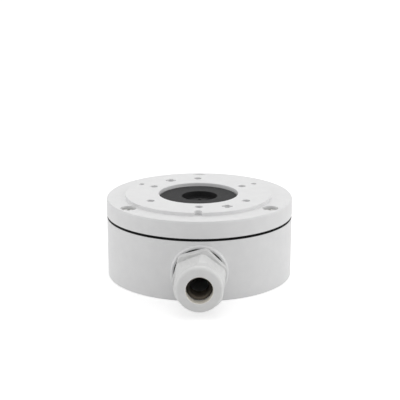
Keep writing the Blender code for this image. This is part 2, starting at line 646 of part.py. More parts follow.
def build_dome_nut():
    mouth_r = CAGE_BORE_R
    shoulder_s = NUT_DOME_S - NUT_SHOULDER_L
    shoulder_r = NUT_CORNER_R - NUT_CORNER_LEAN
    nut = lathe("gland_dome_nut", [
        (mouth_r, NUT_FRONT_S, NUT_MOUTH_EDGE), (NUT_DOME_R, NUT_FRONT_S, NUT_FRONT_EDGE),
        (NUT_DOME_R, NUT_DOME_S), (shoulder_r, shoulder_s),
        (NUT_CORNER_R, NUT_S + NUT_BACK_BEVEL), (NUT_CORNER_R - NUT_BACK_BEVEL, NUT_S),
        (NUT_BORE_R, NUT_S), (NUT_BORE_R, NUT_CONE_S), (mouth_r, NUT_MOUTH_S)],
        PARTS, steps=GLAND_STEPS, parent=GLAND_AXIS)
    trim = hexagon("nut_hexagon", NUT_FLAT_R, NUT_S - SEAT_GAP, NUT_DOME_S, NUT_TURN,
                   high_flat_r=NUT_FLAT_R - NUT_DRAFT)
    join(trim, rod("dome_space", NUT_CORNER_R + OVERRUN, NUT_DOME_S, NUT_FRONT_S + OVERRUN,
                   steps=GLAND_STEPS, parent=GLAND_AXIS))
    combine(nut, trim, "INTERSECT")
    finish(nut, WHITE_NYLON)


# The gland's axis: its local +Z points out of the box, along -Y
GLAND_AXIS = bpy.data.objects.new("gland_axis", None)
PARTS.objects.link(GLAND_AXIS)
GLAND_AXIS.location = (0.0, BOSS_FACE_Y, GLAND_Z)
GLAND_AXIS.rotation_euler = (pi / 2, 0.0, 0.0)

build_base()
build_gasket()
build_cover()
build_grommet()
build_screws()
build_gland_washer()
build_gland_body()
build_gland_locknut()
build_gland_cage()
build_gland_seal()
build_dome_nut()
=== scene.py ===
from math import acos, atan, atan2, cos, pi, radians, sin, sqrt, tan

import bpy
from mathutils import Matrix, Vector


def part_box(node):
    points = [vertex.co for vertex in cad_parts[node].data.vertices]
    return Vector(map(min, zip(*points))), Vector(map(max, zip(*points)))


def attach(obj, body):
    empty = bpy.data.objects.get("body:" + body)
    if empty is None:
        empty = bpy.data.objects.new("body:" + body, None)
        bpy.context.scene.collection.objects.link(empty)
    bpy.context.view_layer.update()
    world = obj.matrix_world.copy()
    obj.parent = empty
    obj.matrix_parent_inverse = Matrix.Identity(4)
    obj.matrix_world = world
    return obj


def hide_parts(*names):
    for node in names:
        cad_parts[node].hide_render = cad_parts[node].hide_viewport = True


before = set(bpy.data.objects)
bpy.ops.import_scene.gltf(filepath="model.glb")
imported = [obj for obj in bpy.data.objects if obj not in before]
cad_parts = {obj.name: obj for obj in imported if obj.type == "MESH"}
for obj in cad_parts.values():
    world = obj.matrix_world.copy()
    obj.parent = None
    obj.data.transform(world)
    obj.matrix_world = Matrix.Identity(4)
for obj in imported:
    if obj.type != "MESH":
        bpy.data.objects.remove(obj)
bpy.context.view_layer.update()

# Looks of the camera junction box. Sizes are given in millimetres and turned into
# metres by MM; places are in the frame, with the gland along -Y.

MM = 0.001

# Boxes of the nodes, read from the frame
BASE_LOW, BASE_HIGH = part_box("base")
COVER_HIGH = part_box("cover")[1]
GASKET_LOW, GASKET_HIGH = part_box("gasket")
WASHER_LOW, WASHER_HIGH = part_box("gland_washer")
BODY_LOW, BODY_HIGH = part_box("gland_body")
LOCKNUT_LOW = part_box("gland_locknut")[0]
SEAL_LOW, SEAL_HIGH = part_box("gland_seal")
NUT_LOW, NUT_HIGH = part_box("gland_dome_nut")
GROMMET_LOW, GROMMET_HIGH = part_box("cable_grommet")
SCREW_LOW, SCREW_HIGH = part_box("cover_screw_1")

# Clearances
FIT_GAP = 0.3 * MM
SEAT_GAP = 0.1 * MM
THREAD_GAP = 0.25 * MM
SOFT_GAP = 0.02 * MM         # gasket to the rims that squeeze it
END_GAP = 0.2 * MM           # between the screws' pillars and their bosses, at each end
OVERRUN = 1.0 * MM           # a cutter reaches this far past what it cuts
BURY = 0.5 * MM              # a joined solid reaches this far into its neighbour

# Housing. The seam is opened a little, to show the dark line at the photo's width
BASE_FULLER = 0.15 * MM
SEAM_BELOW = 0.2 * MM
SEAM_ABOVE = 0.38 * MM
BASE_R = BASE_HIGH.x + BASE_FULLER
BASE_H = GASKET_LOW.z - SEAM_BELOW
BASE_DRAFT = 0.2 * MM
BASE_WALL = 3.0 * MM
BASE_IN_R = BASE_R - BASE_WALL
FLOOR_T = 2.6 * MM
FOOT_EDGE = 0.4 * MM
INNER_EDGE = 0.8 * MM
SEAM_EDGE = 0.06 * MM
GASKET_W = 2.5 * MM
GASKET_INSET = 0.05 * MM
GASKET_BULGE = 0.15          # share of the gasket's height

# Cover
COVER_R = COVER_HIGH.x
COVER_Z = GASKET_HIGH.z + SEAM_ABOVE
PLATE_Z = COVER_HIGH.z
PLATE_X = (GROMMET_LOW.x + GROMMET_HIGH.x) / 2
PLATE_R = 39.4 * MM
PLATE_STEP = 1.75 * MM
PLATE_EDGE = 0.35 * MM
PLATE_FOOT = 0.12 * MM
PLATE_LAP = 0.01 * MM        # the plate's foot lies this far under the rim's face
RIM_EDGE = 0.5 * MM
RIM_LEAN = 0.25 * MM         # the side leans in this much over its top RIM_DROP
RIM_DROP = 1.2 * MM
RIM_SOFTNESS = 3.0 * MM
RIM_Z = PLATE_Z - PLATE_STEP
CEILING_DEPTH = 4.4 * MM
CEILING_Z = PLATE_Z - CEILING_DEPTH
LIP_R = BASE_IN_R - FIT_GAP
LIP_W = 1.0 * MM
LIP_H = 2.4 * MM
LIP_STEP = 0.2 * MM
COVER_IN_R = LIP_R - LIP_W - LIP_STEP

# Centre opening and grommet
CENTRE_R = 21.3 * MM
CENTRE_EDGE = 0.5 * MM
LEDGE_W = 3.1 * MM
LEDGE_R = CENTRE_R - LEDGE_W
LEDGE_DEPTH = 3.8 * MM
LEDGE_Z = PLATE_Z - LEDGE_DEPTH
LEDGE_T = 2.0 * MM
COLLAR_W = 3.2 * MM
COLLAR_R = CENTRE_R + COLLAR_W
GROMMET_SINK = 1.65 * MM
GROMMET_GAP = 0.8 * MM
GROMMET_EDGE = 0.5 * MM
GROMMET_SNAP = 1.2 * MM
GROMMET_BEAD_T = 1.6 * MM
CUP_R = 9.55 * MM
CUP_EDGE = 0.25 * MM
CUP_FLOOR_R = 8.9 * MM
CUP_FLOOR_EDGE = 0.8 * MM
CUP_DEPTH = 3.4 * MM
CUP_FLOOR_RISE = 1.2 * MM    # the floor rises to its middle
CUP_FLOOR_T = 1.2 * MM
CUP_X = 0.65 * MM            # the cup sits this far off the opening's axis
PIERCE_R = 0.8 * MM
PIERCE_EDGE = 0.2 * MM

# Cover screws
SCREW_ANGLES = (90.0, 213.0, 327.0)
DRIVE_TURNS = (25.0, 0.0, 10.0)      # each screw stopped at its own angle
SCREW_CIRCLE_R = (SCREW_LOW.y + SCREW_HIGH.y) / 2
SCREW_R = 1.9 * MM
SCREW_HEAD_R = 3.7 * MM
SCREW_HEAD_H = 2.4 * MM
SCREW_L = 18.0 * MM
SCREW_TIP = 0.8 * MM
HEAD_SINK = 1.35 * MM
HEAD_EDGE = 0.6 * MM
HEAD_FOOT_EDGE = 0.1 * MM
HEAD_Z = RIM_Z - HEAD_SINK
HEAD_FOOT_Z = HEAD_Z - SCREW_HEAD_H
SCREW_END_Z = HEAD_FOOT_Z - SCREW_L
DRIVE_SPAN = 4.8 * MM
DRIVE_W = 1.2 * MM
DRIVE_CORE_R = DRIVE_W * 0.6
DRIVE_DEPTH = 1.5 * MM
DRIVE_EDGE = 0.08 * MM
RECESS_R = 4.2 * MM
RECESS_EDGE = 0.35 * MM
RECESS_SPARE = 1.7 * MM      # room for the seal ring under the head
RECESS_Z = HEAD_FOOT_Z - RECESS_SPARE
RECESS_WALL = 1.4 * MM
PILLAR_WALL = 3.0 * MM
PILLAR_R = SCREW_R + PILLAR_WALL
TAP_SPARE = 2.0 * MM

# Fixing holes: radius of the hole, radius of the circle, angles
MOUTH_EDGE = 0.15 * MM
FIX_DEPTH = 5.6 * MM
FIX_WALL = 1.6 * MM
FIX_FLOOR = 1.4 * MM
REAR_HOLES = (2.1 * MM, 31.0 * MM, (90.6,))
FRONT_HOLES = (2.1 * MM, 29.8 * MM, (212.5, 328.0))
NARROW_HOLES = (2.1 * MM, 27.8 * MM, (30.6, 151.0, 270.6))
CROSS_HOLES = (1.9 * MM, 30.7 * MM, (120.2, 299.4))
SMALL_HOLES = (1.5 * MM, 36.1 * MM, (32.0, 149.6))
FIXING_HOLES = (REAR_HOLES, FRONT_HOLES, NARROW_HOLES, CROSS_HOLES, SMALL_HOLES)
CROSS_SPAN = 5.6 * MM
CROSS_W = 2.2 * MM
CROSS_CORE_EXTRA = 0.4 * MM  # the cross's round middle is wider than the hole below it
NOTCH_W = 4.1 * MM
NOTCH_START_R = 34.5 * MM
NOTCH_END_R = 40.7 * MM
NOTCH_UNDER_RIM = 0.55 * MM
NOTCH_Z = RIM_Z - NOTCH_UNDER_RIM
WALL_HOLE_R = 2.4 * MM
WALL_HOLE_CIRCLE_R = 31.0 * MM
WALL_HOLE_COUNT = 4
WALL_PAD_R = 5.5 * MM
WALL_PAD_H = 1.4 * MM

# Gland, measured outwards from the face of its boss
BOSS_FACE_Y = BASE_LOW.y
GLAND_Z = (WASHER_LOW.z + WASHER_HIGH.z) / 2
GLAND_HOLE_GAP = 0.35 * MM
BOSS_FOOT = 0.5 * MM         # from the wall's plane to the boss's lowest point
BOSS_R = GLAND_Z - BOSS_FOOT
BOSS_EDGE = 1.2 * MM
BOSS_T = LOCKNUT_LOW.y - BOSS_FACE_Y - SEAT_GAP
GLAND_END_S = BOSS_FACE_Y - BODY_LOW.y
INNER_END_S = BOSS_FACE_Y - BODY_HIGH.y
SEAL_R = SEAL_HIGH.x
SEAL_WALL = 1.7 * MM
SEAL_BORE_R = SEAL_R - SEAL_WALL
SEAL_BACK_S = BOSS_FACE_Y - SEAL_HIGH.y
SEAL_FRONT_S = BOSS_FACE_Y - SEAL_LOW.y
SEAL_EDGE = 0.5 * MM
SEAT_BORE_R = 8.3 * MM
SEAT_L = 4.2 * MM
THREAD_R = 9.85 * MM
THREAD_PITCH = 1.5 * MM
THREAD_DEPTH = 0.8 * MM
THREAD_CHAMFER = 0.6 * MM
THREAD_SKIN = 0.01 * MM      # points this near to THREAD_R belong to the thread
WASHER_SETBACK = 0.2 * MM
WASHER_R = WASHER_HIGH.x - WASHER_SETBACK
WASHER_S = BOSS_FACE_Y - WASHER_HIGH.y
WASHER_T = WASHER_HIGH.y - WASHER_LOW.y
WASHER_EDGE = 0.2 * MM
FLANGE_S = WASHER_S + WASHER_T + SEAT_GAP
FLANGE_T = 5.2 * MM
FLANGE_FLAT_R = 12.75 * MM
FLANGE_BEVEL = 0.7 * MM
FLANGE_SETBACK = 0.4 * MM
FLANGE_EDGE = 0.2 * MM
FLANGE_TURN = 14.5           # degrees, clockwise as seen from outside
FLANGE_FILLET = 2.2 * MM
NECK_L = 1.0 * MM
NECK_DEPTH = 0.6 * MM
THREAD_S = FLANGE_S + FLANGE_T

# Dome nut
NUT_S = BOSS_FACE_Y - NUT_HIGH.y
NUT_FRONT_S = BOSS_FACE_Y - NUT_LOW.y
NUT_BORE_R = THREAD_R + THREAD_GAP
NUT_TURN = 8.0               # degrees, clockwise as seen from outside
NUT_FLAT_R = 12.6 * MM
NUT_DRAFT = 0.35 * MM
NUT_CORNER_R = 13.9 * MM
NUT_CORNER_LEAN = 0.9 * MM
NUT_DOME_R = 11.85 * MM
NUT_DOME_L = 3.6 * MM
NUT_DOME_S = NUT_FRONT_S - NUT_DOME_L
NUT_SHOULDER_L = 1.6 * MM
NUT_FRONT_EDGE = 1.7 * MM
NUT_FACE_LEAN = 0.35 * MM    # the front face is a shallow cone
NUT_BACK_BEVEL = 0.5 * MM
NUT_MOUTH_R = 6.8 * MM
NUT_MOUTH_EDGE = 0.5 * MM
NUT_MOUTH_L = 4.6 * MM
NUT_CONE_L = 3.5 * MM
RIB_PITCH = 0.95 * MM
RIB_DEPTH = 0.12 * MM

# Facets
BIG_STEPS = 240
GLAND_STEPS = 192
THREAD_STEPS = 360
NUT_STEPS = 720
SCREW_STEPS = 64
HOLE_STEPS = 40
CROSS_STEPS = 128
ARC_STEPS = 6
THREAD_ROWS = 12             # rows per pitch
BEVEL_SPACING = 0.15 * MM
SHOULDER_SPACING = 0.12 * MM
SIDE_SPACING = 0.8 * MM
SHARP_DEGREES = 35.0


# Profiles and meshes

def rounded(points):
    """Turn (r, z) and (r, z, fillet) corners into a chain of points with arcs."""
    chain = []
    count = len(points)
    for i, point in enumerate(points):
        here = Vector(point[:2])
        if len(point) < 3:
            chain.append(here)
            continue
        fillet = point[2]
        before = (Vector(points[i - 1][:2]) - here).normalized()
        after = (Vector(points[(i + 1) % count][:2]) - here).normalized()
        half = acos(max(-1.0, min(1.0, before.dot(after)))) / 2
        centre = here + (before + after).normalized() * (fillet / sin(half))
        start = here + before * (fillet / tan(half)) - centre
        end = here + after * (fillet / tan(half)) - centre
        turn = atan2(start.x * end.y - start.y * end.x, start.dot(end))
        for step in range(ARC_STEPS + 1):
            chain.append(centre + Matrix.Rotation(turn * step / ARC_STEPS, 2) @ start)
    return chain


def line(start, end, spacing):
    """Points from start to end, both among them, no further apart than the spacing."""
    start, end = Vector(start), Vector(end)
    count = max(1, round((end - start).length / spacing))
    return [tuple(start.lerp(end, i / count)) for i in range(count + 1)]


def new_object(name, mesh):
    obj = bpy.data.objects.new(name, mesh)
    bpy.context.scene.collection.objects.link(obj)
    return obj


def turned(name, points, steps, first_angle=0.0, shape=None, at=(0.0, 0.0)):
    """A profile turned about an upright axis. It is a closed ring unless it starts and ends
    on the axis. shape(radius, z, angle) may move each point in or out."""
    chain = rounded(points)
    ring = chain[0].x > 0.0
    rows = chain if ring else chain[1:-1]
    verts = []
    for point in rows:
        for step in range(steps):
            angle = first_angle + 2 * pi * step / steps
            radius = shape(point.x, point.y, angle) if shape else point.x
            verts.append((at[0] + radius * cos(angle), at[1] + radius * sin(angle), point.y))
    faces = []
    count = len(rows)
    for row in range(count if ring else count - 1):
        here, below = row * steps, (row + 1) % count * steps
        for step in range(steps):
            after = (step + 1) % steps
            faces.append((here + step, below + step, below + after, here + after))
    if not ring:
        top, bottom = len(verts), len(verts) + 1
        verts += [(*at, chain[0].y), (*at, chain[-1].y)]
        last = (count - 1) * steps
        for step in range(steps):
            after = (step + 1) % steps
            faces.append((top, step, after))
            faces.append((bottom, last + after, last + step))
    mesh = bpy.data.meshes.new(name)
    mesh.from_pydata(verts, [], faces)
    return new_object(name, mesh)


def moved(obj, matrix):
    obj.data.transform(matrix)
    return obj


def rod(name, radius, low, high, at=(0.0, 0.0), top_radius=None):
    top_radius = radius if top_radius is None else top_radius
    points = [(0.0, high), (top_radius, high), (radius, low), (0.0, low)]
    return turned(name, points, HOLE_STEPS, at=at)


def hole_cutter(name, radius, low, high, edge, at=(0.0, 0.0), steps=HOLE_STEPS, shape=None):
    """A round cutter whose mouth flares, so that it leaves a rounded edge at the height high."""
    flare = [(radius + edge - edge * cos(a), high - edge + edge * sin(a))
             for a in (pi / 2 * i / ARC_STEPS for i in range(ARC_STEPS, -1, -1))]
    over = high + OVERRUN
    points = [(0.0, over), (radius + edge, over), *flare, (radius, low), (0.0, low)]
    return turned(name, points, steps, shape=shape, at=at)


def arm_radius(angle, span, width):
    """From the centre of a straight bar to its outline, in the direction of the angle."""
    tiny = 1e-6
    along, across = max(abs(cos(angle)), tiny), max(abs(sin(angle)), tiny)
    return min(span / 2 / along, width / 2 / across)


def cross_cutter(name, core_r, span, width, low, high, edge, at, turn=0.0):
    """A cross with a round core, whose mouth flares like a round hole's."""
    def outline(radius, z, angle):
        arms = max(arm_radius(angle - turn, span, width),
                   arm_radius(angle - turn + pi / 2, span, width))
        return radius - core_r + max(core_r, arms) if radius > 0.0 else radius
    return hole_cutter(name, core_r, low, high, edge, at, CROSS_STEPS, outline)


def combine(obj, others, operation):
    """Apply one Boolean for each other object, then remove those objects."""
    for other in others:
        boolean = obj.modifiers.new("boolean", "BOOLEAN")
        boolean.operation = operation
        boolean.solver = "MANIFOLD"
        boolean.object = other
    bpy.context.view_layer.update()
    evaluated = obj.evaluated_get(bpy.context.evaluated_depsgraph_get())
    mesh = bpy.data.meshes.new_from_object(evaluated)
    obj.modifiers.clear()
    obj.data = mesh
    for other in others:
        bpy.data.objects.remove(other, do_unlink=True)


def dress(obj, material):
    """Material and smooth shading that keeps flat faces flat."""
    obj.data.materials.clear()
    obj.data.materials.append(material)
    obj.data.shade_smooth()
    obj.data.set_sharp_from_angle(angle=radians(SHARP_DEGREES))
    weighted = obj.modifiers.new("flat faces", "WEIGHTED_NORMAL")
    weighted.weight = 100
    weighted.keep_sharp = True


def stand_for(obj, node, body, material):
    """The piece replaces a node of the frame and moves with its body."""
    dress(obj, material)
    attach(obj, body)
    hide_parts(node)


def polar(radius, degrees):
    return radius * cos(radians(degrees)), radius * sin(radians(degrees))


# The gland's own axes: its +Z points out of the box, along -Y
GLAND_PLACE = Matrix.Translation((0.0, BOSS_FACE_Y, GLAND_Z)) @ Matrix.Rotation(pi / 2, 4, "X")


def corner_angle(turn):
    """Angle about the gland's axis of a corner that is turned clockwise from upright."""
    return radians(90.0 - turn)


def hexagon_radius(flat_r, fillet, angle):
    """From the axis to a hexagon with rounded corners, at an angle from one of its corners."""
    off_corner = (angle + pi / 6) % (pi / 3) - pi / 6
    centre_r = (flat_r - fillet) / cos(pi / 6)
    arc = pi / 6 - atan(centre_r / 2 / flat_r)
    if abs(off_corner) < arc:
        return centre_r * cos(off_corner) + sqrt(fillet ** 2 - (centre_r * sin(off_corner)) ** 2)
    return flat_r / cos(pi / 6 - abs(off_corner))


# Materials. Some tones change from one distance or height to another, as painted shade and painted
# light: shade in the grommet's cup, the gland's bore and the top of the seal, light at the nut's
# mouth and the bottom of the seal
CUP_PAINTED_SHADE_FROM, CUP_PAINTED_SHADE_TO = CUP_R - 0.1 * MM, CUP_R + 0.2 * MM
MOUTH_PAINTED_LIGHT_FROM, MOUTH_PAINTED_LIGHT_TO = NUT_MOUTH_R, NUT_MOUTH_R + 0.4 * MM
SEAL_PAINTED_SHADE_FROM, SEAL_PAINTED_SHADE_TO = GLAND_Z - 6.0 * MM, GLAND_Z - 1.5 * MM
BORE_PAINTED_SHADE_FROM, BORE_PAINTED_SHADE_TO = SEAL_R + 0.1 * MM, SEAL_R + 0.5 * MM


def node_material(name, color, roughness, metallic=0.0, specular=0.5):
    material = bpy.data.materials.new(name)
    material.use_nodes = True
    tree = material.node_tree
    shader = tree.nodes["Principled BSDF"]
    shader.inputs["Base Color"].default_value = (*color, 1.0)
    shader.inputs["Roughness"].default_value = roughness
    shader.inputs["Metallic"].default_value = metallic
    shader.inputs["Specular IOR Level"].default_value = specular
    return material, tree, shader


def add_noise(tree, grain, detail=3.0):
    """Noise in the object's own space, with features about as wide as the grain."""
    place = tree.nodes.new("ShaderNodeTexCoord")
    noise = tree.nodes.new("ShaderNodeTexNoise")
    noise.inputs["Scale"].default_value = 1.0 / grain
    noise.inputs["Detail"].default_value = detail
    noise.inputs["Roughness"].default_value = 0.55
    tree.links.new(place.outputs["Object"], noise.inputs["Vector"])
    return noise.outputs["Fac"]


def add_range(tree, value, low, high, source_low=0.3, source_high=0.7):
    """Map the value to low..high; as given, from the part of its range that noise fills."""
    remap = tree.nodes.new("ShaderNodeMapRange")
    remap.inputs["From Min"].default_value = source_low
    remap.inputs["From Max"].default_value = source_high
    remap.inputs["To Min"].default_value = low
    remap.inputs["To Max"].default_value = high
    tree.links.new(value, remap.inputs["Value"])
    return remap.outputs["Result"]


def add_tint(tree, value, dark, light):
    mix = tree.nodes.new("ShaderNodeMix")
    mix.data_type = "RGBA"
    mix.inputs["A"].default_value = (*dark, 1.0)
    mix.inputs["B"].default_value = (*light, 1.0)
    tree.links.new(value, mix.inputs["Factor"])
    return mix.outputs["Result"]


def add_bump(tree, shader, value, height, strength):
    bump = tree.nodes.new("ShaderNodeBump")
    bump.inputs["Strength"].default_value = strength
    bump.inputs["Distance"].default_value = height
    tree.links.new(value, bump.inputs["Height"])
    tree.links.new(bump.outputs["Normal"], shader.inputs["Normal"])


def powder_coat():
    """White powder coat: an even colour, a faint mottle and a fine orange peel."""
    material, tree, shader = node_material("white_powder_coat", (0.80, 0.80, 0.80), 0.45)
    mottle = add_range(tree, add_noise(tree, grain=6.0 * MM), 0.0, 1.0)
    tint = add_tint(tree, mottle, dark=(0.775, 0.775, 0.778), light=(0.805, 0.805, 0.806))
    tree.links.new(tint, shader.inputs["Base Color"])
    peel = add_noise(tree, grain=0.55 * MM, detail=2.0)
    tree.links.new(add_range(tree, peel, low=0.40, high=0.52), shader.inputs["Roughness"])
    add_bump(tree, shader, peel, height=0.03 * MM, strength=0.35)
    return material


def nylon(name):
    """White moulded nylon: smoother than the coat, with a slight satin flow."""
    material, tree, shader = node_material(name, (0.74, 0.74, 0.73), 0.36)
    flow = add_noise(tree, grain=4.0 * MM, detail=2.0)
    tint = add_tint(tree, add_range(tree, flow, 0.0, 1.0), dark=(0.725, 0.725, 0.72),
                    light=(0.755, 0.755, 0.75))
    tree.links.new(tint, shader.inputs["Base Color"])
    tree.links.new(add_range(tree, flow, low=0.32, high=0.42), shader.inputs["Roughness"])
    add_bump(tree, shader, add_noise(tree, grain=0.3 * MM), height=0.01 * MM, strength=0.2)
    return material


def rubber(name, dark, light, specular):
    """Moulded rubber with a fine matte grain and a trace of bloom."""
    material, tree, shader = node_material(name, light, 0.6, specular=specular)
    bloom = add_range(tree, add_noise(tree, grain=3.0 * MM), 0.0, 1.0)
    tree.links.new(add_tint(tree, bloom, dark, light), shader.inputs["Base Color"])
    matte = add_noise(tree, grain=0.18 * MM, detail=4.0)
    tree.links.new(add_range(tree, matte, low=0.52, high=0.68), shader.inputs["Roughness"])
    add_bump(tree, shader, matte, height=0.02 * MM, strength=0.4)
    return material


def dim(material, level):
    """Multiply the material's colour by a level between 0 and 1."""
    tree = material.node_tree
    shader = tree.nodes["Principled BSDF"]
    scale = tree.nodes.new("ShaderNodeVectorMath")
    scale.operation = "SCALE"
    tree.links.new(shader.inputs["Base Color"].links[0].from_socket, scale.inputs[0])
    tree.links.new(level, scale.inputs["Scale"])
    tree.links.new(scale.outputs["Vector"], shader.inputs["Base Color"])
    return material


def off_axis(tree, keep, centre):
    """Distance from an axis: keep is 0 along the axis and 1 across it."""
    place = tree.nodes.new("ShaderNodeTexCoord")
    flatten = tree.nodes.new("ShaderNodeVectorMath")
    flatten.operation = "MULTIPLY_ADD"
    flatten.inputs[1].default_value = keep
    flatten.inputs[2].default_value = tuple(-value for value in centre)
    tree.links.new(place.outputs["Object"], flatten.inputs[0])
    reach = tree.nodes.new("ShaderNodeVectorMath")
    reach.operation = "LENGTH"
    tree.links.new(flatten.outputs["Vector"], reach.inputs[0])
    return reach.outputs["Value"]


def height_above_wall(tree):
    place = tree.nodes.new("ShaderNodeTexCoord")
    split = tree.nodes.new("ShaderNodeSeparateXYZ")
    tree.links.new(place.outputs["Object"], split.inputs[0])
    return split.outputs["Z"]


def cup_rubber_painted_shade():
    """The grommet's rubber, with painted shade: the cup's inside is darkened, standing for the
    shade that falls in the hollow.
    """
    material = rubber("grommet_rubber_painted_shade", dark=(0.016, 0.016, 0.017),
                      light=(0.024, 0.024, 0.025), specular=0.1)
    tree = material.node_tree
    reach = off_axis(tree, (1.0, 1.0, 0.0), (PLATE_X + CUP_X, 0.0, 0.0))
    return dim(material, add_range(tree, reach, 0.6, 1.0, CUP_PAINTED_SHADE_FROM, CUP_PAINTED_SHADE_TO))


def nut_nylon_painted_light():
    """The dome nut's nylon, with painted light: the mouth's colour is lightened and warmed to
    ivory, standing for light that passes its thin wall.
    """
    material = nylon("nut_nylon_painted_light")
    tree = material.node_tree
    shader = tree.nodes["Principled BSDF"]
    reach = off_axis(tree, (1.0, 0.0, 1.0), (0.0, 0.0, GLAND_Z))
    beyond_painted_light = add_range(tree, reach, 0.0, 1.0, MOUTH_PAINTED_LIGHT_FROM, MOUTH_PAINTED_LIGHT_TO)
    # Painted light: the tint lifts the mouth's colour by up to 30 percent
    tint = add_tint(tree, beyond_painted_light, (1.30, 1.25, 1.14), (1.0, 1.0, 1.0))
    product = tree.nodes.new("ShaderNodeVectorMath")
    product.operation = "MULTIPLY"
    tree.links.new(shader.inputs["Base Color"].links[0].from_socket, product.inputs[0])
    tree.links.new(tint, product.inputs[1])
    tree.links.new(product.outputs["Vector"], shader.inputs["Base Color"])
    return material


def seal_rubber_painted_shade():
    """The gland's seal, with painted shade and painted light: it darkens towards the top of the
    bore, where the nut's mouth shades it, and is lighter and browner towards the bottom, where
    light reaches.
    """
    material = rubber("seal_rubber_painted_shade", dark=(0.130, 0.112, 0.088),
                      light=(0.160, 0.138, 0.108), specular=0.1)
    tree = material.node_tree
    height = height_above_wall(tree)
    return dim(material, add_range(tree, height, 1.0, 0.18, SEAL_PAINTED_SHADE_FROM, SEAL_PAINTED_SHADE_TO))


def barrel_nylon_painted_shade():
    """The gland body's nylon, with painted shade: its bore is dimmed, standing for the dark from
    the cable's way in to the seal.
    """
    material = nylon("barrel_nylon_painted_shade")
    tree = material.node_tree
    reach = off_axis(tree, (1.0, 0.0, 1.0), (0.0, 0.0, GLAND_Z))
    return dim(material, add_range(tree, reach, 0.7, 1.0, BORE_PAINTED_SHADE_FROM, BORE_PAINTED_SHADE_TO))


def steel():
    """Plain stainless steel with faint turning marks."""
    material, tree, shader = node_material("screw_steel", (0.62, 0.62, 0.60), 0.3, metallic=1.0)
    marks = add_noise(tree, grain=0.25 * MM, detail=4.0)
    tree.links.new(add_range(tree, marks, low=0.24, high=0.38), shader.inputs["Roughness"])
    add_bump(tree, shader, marks, height=0.005 * MM, strength=0.3)
    return material


COAT = powder_coat()
NYLON = nylon("white_nylon")
# Painted shade in the gland's bore
BARREL_NYLON_PAINTED_SHADE = barrel_nylon_painted_shade()
# Painted light at the nut's mouth
NUT_NYLON_PAINTED_LIGHT = nut_nylon_painted_light()
RUBBER = rubber("black_rubber", dark=(0.016, 0.016, 0.017),
                light=(0.026, 0.026, 0.027), specular=0.1)
# Painted shade in the grommet's cup
CUP_RUBBER_PAINTED_SHADE = cup_rubber_painted_shade()
# The seam's gasket is black rubber. It is painted darker than the other rubber, as painted shade
# for the shadowed seam
SEAM_RUBBER_PAINTED_SHADE = rubber("seam_rubber_painted_shade", dark=(0.004, 0.004, 0.004),
                     light=(0.008, 0.008, 0.008), specular=0.05)
# Painted shade at the top of the seal, painted light at its bottom
SEAL_RUBBER_PAINTED_SHADE = seal_rubber_painted_shade()
STEEL = steel()


# Base

def screw_places():
    return [polar(SCREW_CIRCLE_R, angle) for angle in SCREW_ANGLES]


def wall_hole_places():
    step = 360.0 / WALL_HOLE_COUNT
    return [polar(WALL_HOLE_CIRCLE_R, step * (i + 0.5)) for i in range(WALL_HOLE_COUNT)]


def make_base():
    base = turned("base_shell", [
        (0.0, FLOOR_T), (BASE_IN_R, FLOOR_T, INNER_EDGE), (BASE_IN_R, BASE_H, SEAM_EDGE),
        (BASE_R, BASE_H, SEAM_EDGE), (BASE_R - BASE_DRAFT, 0.0, FOOT_EDGE), (0.0, 0.0)], BIG_STEPS)
    boss = turned("boss", [
        (0.0, 0.0), (BOSS_R, 0.0, BOSS_EDGE), (BOSS_R, -BOSS_T), (0.0, -BOSS_T)], GLAND_STEPS)
    solids = [moved(boss, GLAND_PLACE)]
    gland_hole = hole_cutter("gland_hole", THREAD_R + GLAND_HOLE_GAP, -BOSS_T - OVERRUN, 0.0,
                             MOUTH_EDGE, steps=GLAND_STEPS)
    cutters = [moved(gland_hole, GLAND_PLACE)]
    for place in screw_places():
        solids.append(rod("pillar", PILLAR_R, FLOOR_T - BURY, BASE_H - END_GAP, place))
        cutters.append(rod("tapped_hole", SCREW_R + THREAD_GAP, SCREW_END_Z - TAP_SPARE,
                           BASE_H + OVERRUN, place))
    for x, y in wall_hole_places():
        solids.append(rod("wall_pad", WALL_PAD_R + WALL_PAD_H / 2, FLOOR_T - BURY,
                          FLOOR_T + WALL_PAD_H, (x, y), top_radius=WALL_PAD_R))
        cutter = hole_cutter("wall_hole", WALL_HOLE_R, -FLOOR_T - WALL_PAD_H - OVERRUN, 0.0,
                             MOUTH_EDGE)
        upside_down = Matrix.Rotation(pi, 4, "X")
        cutters.append(moved(cutter, Matrix.Translation((x, y, 0.0)) @ upside_down))
    combine(base, solids, "UNION")
    combine(base, cutters, "DIFFERENCE")
    stand_for(base, "base", "housing", COAT)


# Gasket

def make_gasket():
    low, high = BASE_H + SOFT_GAP, COVER_Z - SOFT_GAP
    bulge = (high - low) * GASKET_BULGE
    outer = BASE_R - GASKET_INSET
    gasket = turned("seam_gasket", [
        (outer - GASKET_W, high), (outer, high, bulge), (outer, low, bulge),
        (outer - GASKET_W, low)], BIG_STEPS)
    stand_for(gasket, "gasket", "housing", SEAM_RUBBER_PAINTED_SHADE)


# Cover

def make_lip():
    """The ring that drops inside the base's wall and steps aside for the pillars."""
    lip = turned("lip", [
        (LIP_R - LIP_W, COVER_Z + BURY), (LIP_R, COVER_Z + BURY), (LIP_R, COVER_Z - LIP_H),
        (LIP_R - LIP_W, COVER_Z - LIP_H)], BIG_STEPS)
    ways = [rod("pillar_way", PILLAR_R + FIT_GAP, COVER_Z - LIP_H - OVERRUN, COVER_Z + OVERRUN,
                place) for place in screw_places()]
    combine(lip, ways, "DIFFERENCE")
    return lip


